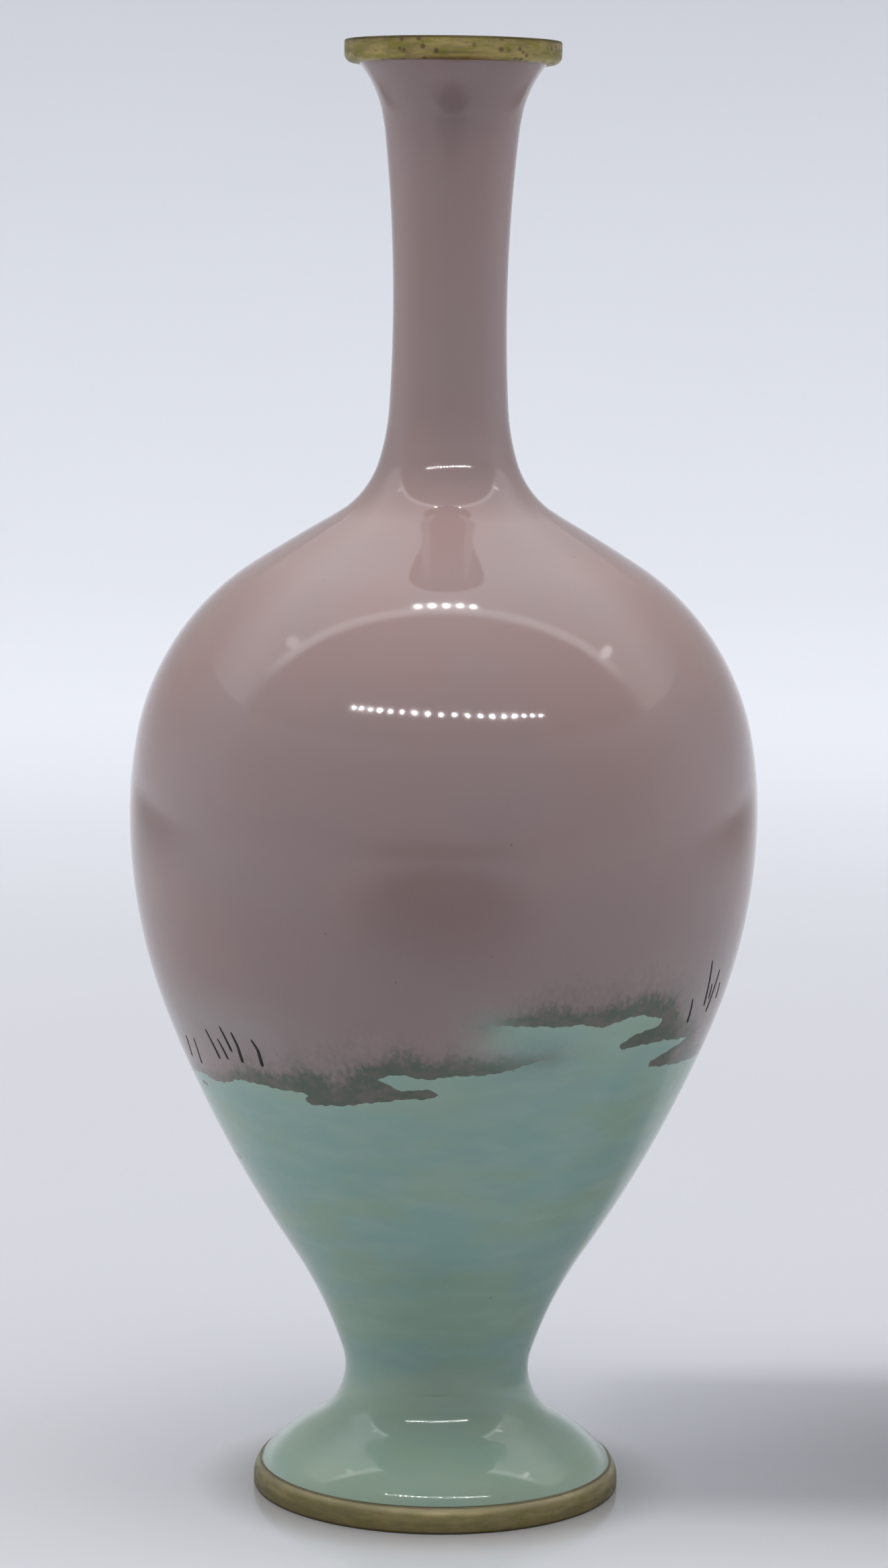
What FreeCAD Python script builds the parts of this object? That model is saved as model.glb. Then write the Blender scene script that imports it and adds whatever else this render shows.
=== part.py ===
import FreeCAD, Part
import math
import os

import Sketcher
from FreeCAD import Vector

# A footed bottle vase in wireless cloisonne: coloured glass fused on a copper body,
# with a brass band round the mouth and another round the foot.
# Millimetres, +Z up along the vase's axis, origin on the axis in the plane that it
# stands on. The scene's front faces -Y. Bearings run from -Y towards +X, in degrees.

# Driving dimensions: name, value, what it is. Every bend is the radius of one arc of
# the outside outline, and a negative bend is hollow. Every lean is the angle of the
# surface's outward normal above the horizontal where that arc ends.
SIZES = [
    ("total_height", 245.0, "foot to top of the mouth band"),
    ("belly_radius", 52.95, "widest outside radius"),
    ("belly_height", 116.6, "height of the widest place"),
    ("crown_bend", 73.0, "belly, first arc upwards"),
    ("crown_lean", 9.8, ""),
    ("shoulder_bend", 43.8, "round of the shoulder"),
    ("shoulder_lean", 57.2, ""),
    ("slope_bend", 287.0, "nearly straight slope to the neck"),
    ("slope_lean", 60.4, ""),
    ("root_bend", -15.5, "hollow at the root of the neck"),
    ("root_lean", 16.7, ""),
    ("throat_bend", -39.0, "lower neck"),
    ("throat_lean", 3.3, ""),
    ("neck_bend", -272.0, "long neck"),
    ("neck_lean", -6.5, ""),
    ("flare_bend", -19.6, "flare into the mouth band"),
    ("flare_lean", -44.0, ""),
    ("hip_bend", 93.6, "belly, first arc downwards"),
    ("hip_lean", -21.7, ""),
    ("taper_bend", 212.0, "nearly straight taper"),
    ("taper_lean", -34.0, ""),
    ("stem_bend", -73.5, "stem"),
    ("stem_lean", -18.3, ""),
    ("cove_bend", -10.5, "hollow between stem and foot"),
    ("cove_lean", 61.4, ""),
    ("dome_bend", 34.0, "domed top of the foot"),
    ("dome_lean", 40.5, ""),
    ("enamel", 0.9, "thickness of the outer glass"),
    ("copper", 0.8, "thickness of the copper"),
    ("lining", 0.35, "thickness of the glass inside"),
    ("mouth_band", 3.8, "height of the mouth band"),
    ("mouth_radius", 18.0, "outside radius of the mouth band"),
    ("mouth_bore", 12.8, "inside radius of the mouth band"),
    ("mouth_round", 1.5, "rounding under the mouth band"),
    ("edge_round", 0.3, "easing of the brass edges"),
    ("foot_band", 4.4, "height of the foot band"),
    ("foot_radius", 31.25, "outside radius of the foot band"),
    ("foot_top_radius", 30.2, "its radius where the glass begins"),
    ("foot_straight", 1.6, "height of its upright part"),
    ("foot_bore", 28.2, "inside radius of the foot band"),
    ("plate_height", 3.0, "underside of the base plate"),
    ("bead", 0.6, "size of the solder bead that holds the plate"),
    ("base_glass", 0.4, "glass under the base plate"),
    ("neck_seam", 187.0, "bottom of the lap between neck and shoulder"),
    ("neck_step", 8.5, "mean radius of that lap"),
    ("belly_seam", 116.6, "bottom of the lap between shoulder and body"),
    ("belly_step", 51.65, "mean radius of that lap"),
    ("stem_seam", 18.3, "bottom of the lap between body and foot"),
    ("stem_step", 14.65, "mean radius of that lap"),
    ("lap", 2.4, "height of every lap"),
    ("solder", 0.2, "thickness of the solder in a lap"),
    ("horizon", 89.4, "height between water glass and sky glass"),
    ("reed_reach", 47.0, "outside radius where the reeds stand"),
    ("patch_inside", 25.0, "inside radius of the scenery patches"),
    ("patch_outside", 60.0, "outside radius of the scenery patches"),
]

# Arcs of the outside outline, upwards and downwards from the widest place.
UPPER = ["crown", "shoulder", "slope", "root", "throat", "neck", "flare"]
LOWER = ["hip", "taper", "stem", "cove", "dome"]

# Shorelines as stretches of (bearing, height) points. A stretch is one smooth curve,
# and stretches meet in the corners: tips of spits and ends of inlets.
LEFT_SHORE = [
    [(-100, 72.4), (-82, 72.8), (-66, 74.4), (-58, 74.0), (-48, 75.6), (-38, 75.4), (-28.5, 75.2)],
    [(-28.5, 75.2), (-30.8, 73.9), (-27.4, 73.4)],
    [(-27.4, 73.4), (-20, 74.0), (-7, 75.7), (0, 76.4)],
    [(0, 76.4), (-7.5, 77.2), (-13, 78.9)],
    [(-13, 78.9), (-8, 79.6), (1.3, 79.4), (9.3, 80.0), (15, 81.1), (21, 82.8)],
    [(21, 82.8), (14, 83.9), (9.5, 85.5), (9.5, 88.5)],
]
RIGHT_SHORE = [
    [(9.5, 88.5), (19, 88.2), (25, 87.6), (32, 87.4), (39, 88.4), (49.5, 86.8)],
    [(49.5, 86.8), (44, 85.3), (37.5, 83.7)],
    [(37.5, 83.7), (43.5, 83.1), (52, 83.2), (60.5, 82.6)],
    [(60.5, 82.6), (53, 80.5), (48.5, 79.0)],
    [(48.5, 79.0), (57, 78.2), (71, 77.6), (86, 76.8), (100, 76.6)],
]
BACK_SHORE = [
    [(100, 76.6), (122, 77.4), (140, 78.6), (151, 80.4)],
    [(151, 80.4), (141, 81.4), (135, 82.6)],
    [(135, 82.6), (152, 83.4), (171, 82.6), (186, 79.6)],
    [(186, 79.6), (204, 77.0), (223, 75.0), (241, 73.4), (260, 72.4)],
]
LAND = {
    "left_bank": (LEFT_SHORE, 90.5),
    "right_bank": (RIGHT_SHORE, 97.0),
    "back_bank": (BACK_SHORE, 93.0),
}

# Small islets in the water: bearing, height, half length in degrees, half height.
ISLETS = [(-68, 72.4, 2.3, 0.45), (-71.5, 59.2, 3.6, 0.4), (163, 73.0, 3.0, 0.4)]

# Reed wires: (bearing, height) of the tip and of the foot, width at the tip and foot.
LEFT_REEDS = [
    ((-67.3, 80.8), (-69.0, 77.0), 0.16, 0.24),
    ((-62.7, 81.0), (-63.9, 76.4), 0.16, 0.26),
    ((-55.3, 83.6), (-53.4, 78.7), 0.16, 0.30),
    ((-51.7, 82.4), (-50.3, 79.0), 0.16, 0.26),
    ((-49.6, 84.8), (-48.0, 80.6), 0.16, 0.28),
    ((-46.3, 84.2), (-45.5, 79.0), 0.18, 0.40),
    ((-40.8, 83.6), (-39.7, 79.0), 0.18, 0.40),
]
RIGHT_REEDS = [
    ((61.4, 95.6), (63.6, 87.6), 0.16, 0.28),
    ((66.6, 93.4), (66.0, 86.2), 0.16, 0.32),
    ((64.4, 91.2), (65.0, 88.6), 0.16, 0.22),
    ((69.2, 90.8), (69.9, 88.0), 0.16, 0.20),
    ((57.2, 89.6), (58.1, 85.4), 0.16, 0.26),
]
BACK_REEDS = [
    ((157.0, 90.6), (158.4, 85.2), 0.16, 0.30),
    ((160.0, 89.2), (160.6, 84.9), 0.16, 0.26),
    ((214.0, 84.6), (212.8, 79.2), 0.16, 0.34),
    ((216.5, 83.4), (216.2, 79.0), 0.16, 0.26),
]


def make_sheet(doc):
    """The spreadsheet that drives the vase: one plain number to a row, under its alias."""
    sheet = doc.addObject("Spreadsheet::Sheet", "Sizes")
    for row, (alias, value, note) in enumerate(SIZES, start=1):
        sheet.set(f"A{row}", alias)
        sheet.set(f"B{row}", str(value))
        sheet.set(f"C{row}", note)
        sheet.setAlias(f"B{row}", alias)
    doc.recompute()
    return sheet


def bind(obj, **formulas):
    """Bind each named property of obj to a formula over the spreadsheet."""
    for prop, formula in formulas.items():
        obj.setExpression(prop, formula)
    return obj


def new_body(doc, name):
    body = doc.addObject("PartDesign::Body", name)
    body.Label = name
    return body


def origin_plane(body, role):
    return next(item for item in body.Origin.OriginFeatures if item.Role == role)


def section_sketch(body, name):
    """A sketch of a half section: its X is the radius and its Y is the height."""
    sketch = body.newObject("Sketcher::SketchObject", name)
    sketch.AttachmentSupport = [(origin_plane(body, "XZ_Plane"), "")]
    sketch.MapMode = "FlatFace"
    return sketch


def drive(sketch, constraint, name, formula):
    """Add a constraint, name it and bind it to a formula."""
    index = sketch.addConstraint(constraint)
    sketch.renameConstraint(index, name)
    sketch.setExpression(f"Constraints.{name}", formula)


def place_point(sketch, spot, name, at, formulas):
    """Hold a sketch point (geometry, end) at a radius and a height given by formulas."""
    geometry, end = spot
    for kind, part, value, formula in (
        ("DistanceX", "wide", at[0], formulas[0]),
        ("DistanceY", "high", at[1], formulas[1]),
    ):
        constraint = Sketcher.Constraint(kind, -1, 1, geometry, end, value)
        drive(sketch, constraint, f"{name}_{part}", formula)


def revolve(body, sketch):
    turned = body.newObject("PartDesign::Revolution", f"{body.Name}_turned")
    turned.Profile = sketch
    turned.ReferenceAxis = (sketch, ["V_Axis"])
    turned.Angle = 360.0
    sketch.Visibility = False
    return turned


def draw_chain(sketch, sheet, arcs, depth, formula, line):
    """Draw one run of the outline at a depth under the surface, from the widest place.

    Gives the (geometry, end) of its first point and of its last point.
    """
    lean = 0.0
    lean_formula = "0"
    radius = sheet.belly_radius - depth
    height = sheet.belly_height
    first = last = None
    before = f"{line}_belly"
    for arc in arcs:
        bend = getattr(sheet, f"{arc}_bend") - depth
        bend_formula = f"(Sizes.{arc}_bend - ({formula}))"
        next_lean = getattr(sheet, f"{arc}_lean")
        next_formula = f"Sizes.{arc}_lean"
        centre = Vector(
            radius - bend * math.cos(math.radians(lean)),
            height - bend * math.sin(math.radians(lean)),
            0,
        )
        turn = 0.0 if bend > 0 else math.pi
        angles = [math.radians(lean) + turn, math.radians(next_lean) + turn]
        circle = Part.Circle(centre, Vector(0, 0, 1), abs(bend))
        index = sketch.addGeometry(Part.ArcOfCircle(circle, min(angles), max(angles)))
        start, end = (1, 2) if angles[0] < angles[1] else (2, 1)
        if last is None:
            first = (index, start)
        else:
            sketch.addConstraint(Sketcher.Constraint("Coincident", *last, index, start))
        radius += bend * (math.cos(math.radians(next_lean)) - math.cos(math.radians(lean)))
        height += bend * (math.sin(math.radians(next_lean)) - math.sin(math.radians(lean)))
        name = f"{line}_{arc}"
        if before.endswith("belly"):
            base = (f"(Sizes.belly_radius - ({formula})) * 1 mm", "Sizes.belly_height * 1 mm")
        else:
            base = tuple(f"{sketch.Name}.Constraints.{before}_{part}" for part in ("wide", "high"))
        steps = tuple(
            f"{base[k]} + {bend_formula} * 1 mm * ({wave}({next_formula}) - {wave}({lean_formula}))"
            for k, wave in enumerate(("cos", "sin"))
        )
        place_point(sketch, (index, end), name, (radius, height), steps)
        drive(
            sketch,
            Sketcher.Constraint("Radius", index, abs(bend)),
            f"{name}_bend",
            f"abs{bend_formula}",
        )
        last = (index, end)
        lean, lean_formula, before = next_lean, next_formula, name
    return first, last


def end_of(sketch, spot):
    return sketch.getPoint(*spot)


def close_ends(sketch, one, other):
    line = sketch.addGeometry(Part.LineSegment(end_of(sketch, one), end_of(sketch, other)))
    sketch.addConstraint(Sketcher.Constraint("Coincident", *one, line, 1))
    sketch.addConstraint(Sketcher.Constraint("Coincident", *other, line, 2))


def wall(doc, sheet, name, outside, inside):
    """One layer of the vase's wall between two depths, given as lists of sheet names."""
    body = new_body(doc, name)
    sketch = section_sketch(body, f"{name}_section")
    ends = []
    for line, names in (("outer", outside), ("inner", inside)):
        depth = sum(getattr(sheet, part) for part in names)
        formula = " + ".join(f"Sizes.{part}" for part in names) or "0"
        up_start, up_end = draw_chain(sketch, sheet, UPPER, depth, formula, line)
        down_start, down_end = draw_chain(sketch, sheet, LOWER, depth, formula, line)
        place_point(
            sketch,
            up_start,
            f"{line}_belly",
            (sheet.belly_radius - depth, sheet.belly_height),
            (f"Sizes.belly_radius - ({formula})", "Sizes.belly_height"),
        )
        sketch.addConstraint(Sketcher.Constraint("Coincident", *up_start, *down_start))
        ends.append((up_end, down_end))
    close_ends(sketch, ends[0][0], ends[1][0])
    close_ends(sketch, ends[0][1], ends[1][1])
    revolve(body, sketch)
    return body


def cylinder(doc, name, radius, height, base="0"):
    """A cylinder on the axis whose radius, height and base height are formulas."""
    drum = doc.addObject("Part::Cylinder", name)
    bind(drum, Radius=radius, Height=height)
    drum.setExpression("Placement.Base.z", base)
    return drum


def join(doc, name, *shapes):
    fused = doc.addObject("Part::MultiFuse", name)
    fused.Shapes = list(shapes)
    return fused


def cut(doc, name, base, tool):
    result = doc.addObject("Part::Cut", name)
    result.Base = base
    result.Tool = tool
    result.Label = name
    return result


def common(doc, name, base, tool):
    result = doc.addObject("Part::Common", name)
    result.Base = base
    result.Tool = tool
    result.Label = name
    return result


def lap_joint(doc, name, seam, step):
    """Tools for a lap: what lies under it, and the thin sleeve of solder in it."""
    thin = f"Sizes.{step} - Sizes.solder / 2"
    thick = f"Sizes.{step} + Sizes.solder / 2"
    lower = cylinder(doc, f"{name}_lower", "Sizes.patch_outside", f"Sizes.{seam}")
    tongue = cylinder(doc, f"{name}_tongue", thin, f"Sizes.{seam} + Sizes.lap")
    under = join(doc, f"{name}_under", lower, tongue)
    drum = cylinder(doc, f"{name}_drum", thick, "Sizes.lap", f"Sizes.{seam}")
    hole = cylinder(doc, f"{name}_hole", thin, "Sizes.lap", f"Sizes.{seam}")
    sleeve = cut(doc, f"{name}_sleeve", drum, hole)
    return under, sleeve


def copper_pieces(doc, copper):
    """Four pieces of sheet copper, lapped and soldered to each other."""
    pieces = []
    rest = copper
    names = ("foot_core", "body_core", "shoulder_core")
    for seam, core in zip(("stem", "belly", "neck"), names):
        under, sleeve = lap_joint(doc, f"{seam}_lap", f"{seam}_seam", f"{seam}_step")
        pieces.append(common(doc, core, rest, under))
        pieces.append(common(doc, f"{seam}_solder", rest, sleeve))
        rest = cut(doc, f"above_{seam}", rest, join(doc, f"{seam}_both", under, sleeve))
    rest.Label = "neck_core"
    pieces.append(rest)
    return pieces


def rectangle_section(sketch, corners):
    """A four-sided section. Each corner is (value, formula) for radius and for height."""
    points = [Vector(radius[0], height[0], 0) for radius, height in corners]
    lines = []
    for index, point in enumerate(points):
        follower = points[(index + 1) % len(points)]
        lines.append(sketch.addGeometry(Part.LineSegment(point, follower)))
    for index, line in enumerate(lines):
        follower = lines[(index + 1) % len(lines)]
        sketch.addConstraint(Sketcher.Constraint("Coincident", line, 2, follower, 1))
        radius, height = corners[index]
        place_point(
            sketch, (line, 1), f"corner{index}", (radius[0], height[0]), (radius[1], height[1])
        )


def ring_edges(shape, radius, height):
    """Names of the circular edges of a shape at a radius and a height."""
    found = []
    for index, edge in enumerate(shape.Edges, start=1):
        box = edge.BoundBox
        if abs(box.XMax - radius) < 0.01 and abs(box.ZMax - height) < 0.01 and box.ZLength < 0.01:
            found.append(f"Edge{index}")
    return found


def round_edges(doc, body, base, places, size, name):
    doc.recompute()
    edges = []
    for radius, height in places:
        edges += ring_edges(base.Shape, radius, height)
    rounded = body.newObject("PartDesign::Fillet", name)
    rounded.Base = (base, edges)
    rounded.setExpression("Radius", size)
    return rounded


def mouth_rim(doc, sheet, copper):
    """Brass band that caps the lip, with a groove under it for the copper's edge."""
    body = new_body(doc, "mouth_band_blank")
    sketch = section_sketch(body, "mouth_band_section")
    bottom = (sheet.total_height - sheet.mouth_band, "Sizes.total_height - Sizes.mouth_band")
    top = (sheet.total_height, "Sizes.total_height")
    bore = (sheet.mouth_bore, "Sizes.mouth_bore")
    edge = (sheet.mouth_radius, "Sizes.mouth_radius")
    rectangle_section(sketch, [(bore, bottom), (edge, bottom), (edge, top), (bore, top)])
    turned = revolve(body, sketch)
    under = round_edges(
        doc, body, turned, [(edge[0], bottom[0])], "Sizes.mouth_round", "mouth_under_round"
    )
    round_edges(
        doc, body, under, [(edge[0], top[0]), (bore[0], top[0])], "Sizes.edge_round", "mouth_edges"
    )
    return cut(doc, "mouth_rim", body, copper)


def foot_rim(doc, sheet, copper):
    """Brass band under the foot, drawn in at the top to meet the glass."""
    body = new_body(doc, "foot_band_blank")
    sketch = section_sketch(body, "foot_band_section")
    bore, outer, top = sheet.foot_bore, sheet.foot_radius, sheet.foot_top_radius
    high, straight = sheet.foot_band, sheet.foot_straight
    inset, rise = outer - top, high - straight
    bend = (inset ** 2 + rise ** 2) / (2 * inset)
    lines = [
        Part.LineSegment(Vector(bore, 0, 0), Vector(outer, 0, 0)),
        Part.LineSegment(Vector(outer, 0, 0), Vector(outer, straight, 0)),
        Part.ArcOfCircle(
            Part.Circle(Vector(outer - bend, straight, 0), Vector(0, 0, 1), bend),
            0,
            math.asin(rise / bend),
        ),
        Part.LineSegment(Vector(top, high, 0), Vector(bore, high, 0)),
        Part.LineSegment(Vector(bore, high, 0), Vector(bore, 0, 0)),
    ]
    spots = [sketch.addGeometry(line) for line in lines]
    for index, spot in enumerate(spots):
        follower = spots[(index + 1) % len(spots)]
        sketch.addConstraint(Sketcher.Constraint("Coincident", spot, 2, follower, 1))
    corners = [
        ((bore, 0.0), ("Sizes.foot_bore", "0")),
        ((outer, 0.0), ("Sizes.foot_radius", "0")),
        ((outer, straight), ("Sizes.foot_radius", "Sizes.foot_straight")),
        ((top, high), ("Sizes.foot_top_radius", "Sizes.foot_band")),
        ((bore, high), ("Sizes.foot_bore", "Sizes.foot_band")),
    ]
    for spot, (at, formulas) in zip(spots, corners):
        place_point(sketch, (spot, 1), f"corner{spot}", at, formulas)
    inset_formula = "(Sizes.foot_radius - Sizes.foot_top_radius)"
    rise_formula = "(Sizes.foot_band - Sizes.foot_straight)"
    drive(
        sketch,
        Sketcher.Constraint("Radius", spots[2], bend),
        "foot_bend",
        f"({inset_formula}^2 + {rise_formula}^2) / (2 * {inset_formula})",
    )
    turned = revolve(body, sketch)
    round_edges(doc, body, turned, [(outer, 0.0), (bore, 0.0)], "Sizes.edge_round", "foot_edges")
    return cut(doc, "foot_rim", body, copper)


def base_pieces(doc):
    """The copper disc that closes the foot, its solder bead and the glass under it."""
    plate = cylinder(doc, "base_plate", "Sizes.foot_bore", "Sizes.copper", "Sizes.plate_height")
    drum = cylinder(
        doc, "bead_drum", "Sizes.foot_bore", "Sizes.bead", "Sizes.plate_height - Sizes.bead"
    )
    hole = cylinder(
        doc,
        "bead_hole",
        "Sizes.foot_bore - Sizes.bead",
        "Sizes.bead",
        "Sizes.plate_height - Sizes.bead",
    )
    bead = cut(doc, "base_solder", drum, hole)
    glass = cylinder(
        doc,
        "base_enamel",
        "Sizes.foot_bore - Sizes.bead",
        "Sizes.base_glass",
        "Sizes.plate_height - Sizes.base_glass",
    )
    return [plate, bead, glass]


def wrapped_patch(doc, sheet, name, stretches):
    """A radial block whose outline is closed stretches of (bearing, height) points."""
    bearings = [point[0] for stretch in stretches for point in stretch]
    middle = (min(bearings) + max(bearings)) / 2
    walls = []
    faces = []
    for radius in (sheet.patch_inside, sheet.patch_outside):
        surface = Part.Cylinder()
        surface.Radius = radius
        edges = []
        for stretch in stretches:
            flat = [
                FreeCAD.Base.Vector2d(math.radians(180 + bearing - middle), height)
                for bearing, height in stretch
            ]
            if len(flat) == 2:
                curve = Part.Geom2d.Line2dSegment(flat[0], flat[1])
            else:
                curve = Part.Geom2d.BSplineCurve2d()
                curve.interpolate(flat)
            edge = curve.toShape(surface)
            edges.append(edge)
        outline = Part.Wire(edges)
        faces.append(Part.Face(surface, outline))
        walls.append(edges)
    for inner, outer in zip(*walls):
        faces.append(Part.makeRuledSurface(inner, outer))
    shell = Part.makeShell(faces)
    shell.sewShape()
    solid = Part.makeSolid(shell)
    if solid.Volume < 0:
        solid.reverse()
    # The drawing's middle bearing is half a turn from +X, and bearing 0 is -Y.
    solid.rotate(Vector(0, 0, 0), Vector(0, 0, 1), middle - 90 - 180)
    patch = doc.addObject("Part::Feature", name)
    patch.Shape = solid
    return patch


def land_outline(shore, top):
    """A bank's outline: its shore, then up, along its soft upper side, and down."""
    first, last = shore[0][0], shore[-1][-1]
    return shore + [
        [last, (last[0], top)],
        [(last[0], top), (first[0], top)],
        [(first[0], top), first],
    ]


def islet_outline(bearing, height, half_length, half_height):
    west, east = (bearing - half_length, height), (bearing + half_length, height)
    return [
        [west, (bearing, height + half_height), east],
        [east, (bearing, height - half_height), west],
    ]


def reed_outline(sheet, tip, foot, tip_width, foot_width):
    """Outline of one tapered reed wire, with its widths turned into degrees."""
    tip_half = math.degrees(tip_width / 2 / sheet.reed_reach)
    foot_half = math.degrees(foot_width / 2 / sheet.reed_reach)
    corners = [
        (foot[0] - foot_half, foot[1]),
        (foot[0] + foot_half, foot[1]),
        (tip[0] + tip_half, tip[1]),
        (tip[0] - tip_half, tip[1]),
    ]
    return [[corner, corners[(index + 1) % 4]] for index, corner in enumerate(corners)]


def patch_group(doc, sheet, name, outlines):
    """One object that holds several separate patches."""
    patches = [
        wrapped_patch(doc, sheet, f"{name}_patch{index}", outline)
        for index, outline in enumerate(outlines, start=1)
    ]
    return join(doc, f"{name}_patches", *patches)


def outer_glass(doc, sheet, glass):
    """The glass skin: sky, three banks, water and islets, with the reed wires in it."""
    reeds = []
    for name, group in (
        ("left_reeds", LEFT_REEDS),
        ("right_reeds", RIGHT_REEDS),
        ("back_reeds", BACK_REEDS),
    ):
        outlines = [reed_outline(sheet, *reed) for reed in group]
        reeds.append(common(doc, name, glass, patch_group(doc, sheet, name, outlines)))
    outlines = [islet_outline(*islet) for islet in ISLETS]
    islets = common(doc, "islets_enamel", glass, patch_group(doc, sheet, "islets", outlines))
    pieces = reeds + [islets]
    wires = join(doc, "all_reeds", *reeds)
    land = []
    for name, (shore, top) in LAND.items():
        patch = wrapped_patch(doc, sheet, f"{name}_patch", land_outline(shore, top))
        land.append(patch)
        bank = common(doc, f"{name}_blank", glass, patch)
        pieces.append(cut(doc, f"{name}_enamel", bank, wires))
    shore = join(doc, "all_land", *land)
    foot = "Sizes.foot_band"
    below = cylinder(doc, "below_horizon", "Sizes.patch_outside", f"Sizes.horizon - {foot}", foot)
    span = "Sizes.total_height - Sizes.mouth_band - Sizes.horizon"
    above = cylinder(doc, "above_horizon", "Sizes.patch_outside", span, "Sizes.horizon")
    lower = cut(doc, "water_blank", common(doc, "lower_glass", glass, below), shore)
    upper = cut(doc, "sky_blank", common(doc, "upper_glass", glass, above), shore)
    pieces.append(cut(doc, "water_enamel", lower, islets))
    pieces.append(cut(doc, "sky_enamel", upper, wires))
    return pieces


def inner_glass(doc, lining):
    """Thin glass inside, from the base plate to the underside of the mouth band."""
    floor = "Sizes.plate_height + Sizes.copper"
    span = f"Sizes.total_height - Sizes.mouth_band - ({floor})"
    drum = cylinder(doc, "lining_span", "Sizes.patch_outside", span, floor)
    return common(doc, "inner_enamel", lining, drum)


def failed(doc):
    return [obj.Name for obj in doc.Objects if {"Invalid", "Error"} & set(obj.State)]


def write_pieces(pieces):
    """Check every piece, then write each one to its own STEP file."""
    for piece in pieces:
        shape = piece.Shape
        if shape.isNull() or not shape.isValid() or not shape.Solids:
            raise RuntimeError(f"{piece.Label} has no valid solid")
    os.makedirs("parts", exist_ok=True)
    for piece in pieces:
        solids = piece.Shape.Solids
        shape = solids[0] if len(solids) == 1 else Part.makeCompound(solids)
        shape.exportStep(f"parts/{piece.Label}.step")
        box = shape.optimalBoundingBox()
        print(f"{piece.Label}: {len(solids)} solid(s), {piece.Shape.Volume:.1f} mm3,"
              f" z {box.ZMin:.2f} to {box.ZMax:.2f}, radius {box.XMax:.2f}")


def main():
    doc = FreeCAD.newDocument("cloisonne_vase")
    sheet = make_sheet(doc)
    glass = wall(doc, sheet, "glass_wall", [], ["enamel"])
    copper = wall(doc, sheet, "copper_wall", ["enamel"], ["enamel", "copper"])
    lining = wall(doc, sheet, "lining_wall", ["enamel", "copper"], ["enamel", "copper", "lining"])
    pieces = copper_pieces(doc, copper)
    pieces += [mouth_rim(doc, sheet, copper), foot_rim(doc, sheet, copper)]
    pieces += base_pieces(doc)
    pieces += outer_glass(doc, sheet, glass)
    pieces.append(inner_glass(doc, lining))
    doc.recompute()
    if failed(doc):
        raise RuntimeError(f"failed objects: {failed(doc)}")
    write_pieces(pieces)


main()
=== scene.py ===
import math

import bpy
import numpy as np
from mathutils import Matrix, Vector


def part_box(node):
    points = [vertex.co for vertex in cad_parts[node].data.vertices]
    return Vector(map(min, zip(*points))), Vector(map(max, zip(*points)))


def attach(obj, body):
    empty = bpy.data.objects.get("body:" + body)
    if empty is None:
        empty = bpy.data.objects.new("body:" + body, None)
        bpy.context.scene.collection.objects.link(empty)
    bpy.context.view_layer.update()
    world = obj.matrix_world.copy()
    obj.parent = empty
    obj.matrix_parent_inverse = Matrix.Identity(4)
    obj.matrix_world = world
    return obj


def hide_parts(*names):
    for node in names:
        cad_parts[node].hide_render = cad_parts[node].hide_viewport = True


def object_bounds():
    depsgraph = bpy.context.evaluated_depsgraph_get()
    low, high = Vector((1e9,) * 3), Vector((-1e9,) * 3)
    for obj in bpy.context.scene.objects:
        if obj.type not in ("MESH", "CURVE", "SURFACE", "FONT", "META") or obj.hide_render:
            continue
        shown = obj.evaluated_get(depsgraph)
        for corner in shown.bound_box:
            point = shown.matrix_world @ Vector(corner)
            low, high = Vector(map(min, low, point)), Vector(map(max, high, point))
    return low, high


# A footed bottle vase in wireless cloisonne, seen on a pale studio floor.
# Metres in Blender; the shape is worked out in millimetres. +Z is up along the axis,
# the scene's front faces -Y, and bearings run from -Y towards +X in degrees.

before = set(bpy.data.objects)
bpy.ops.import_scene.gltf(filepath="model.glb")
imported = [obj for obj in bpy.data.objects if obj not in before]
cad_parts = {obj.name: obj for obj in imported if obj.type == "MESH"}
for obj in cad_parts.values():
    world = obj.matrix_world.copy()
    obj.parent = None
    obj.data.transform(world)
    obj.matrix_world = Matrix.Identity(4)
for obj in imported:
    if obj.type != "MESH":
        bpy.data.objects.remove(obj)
cad_low, cad_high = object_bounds()

MM = 0.001
HEIGHT = cad_high.z - cad_low.z
BELLY_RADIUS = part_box("sky_enamel")[1].x / MM
BELLY_HEIGHT = 116.6
GLASS = 0.9
COPPER = 0.8
# The glass's normals tip down to this lean where it meets the foot band.
EDGE_LEAN = 20.0
EDGE_REACH = 2.0
# How far the hand-laid shore lines wander, and how far apart their points are.
SHORE_WANDER = 0.26
SHORE_SPACING = 0.35
SHORE_RADIUS = 48
MOUTH_LOW, MOUTH_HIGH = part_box("mouth_rim")
FOOT_LOW, FOOT_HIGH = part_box("foot_rim")

# The outline as tangent arcs from the widest place: radius of the bend (negative is
# hollow) and lean of the outward normal above the horizontal where the arc ends.
UPPER = [
    (73, 9.8), (43.8, 57.2), (287, 60.4), (-15.5, 16.7), (-39, 3.3), (-272, -6.5), (-19.6, -44),
]
LOWER = [(93.6, -21.7), (212, -34), (-73.5, -18.3), (-10.5, 61.4), (34, 40.5)]

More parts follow.
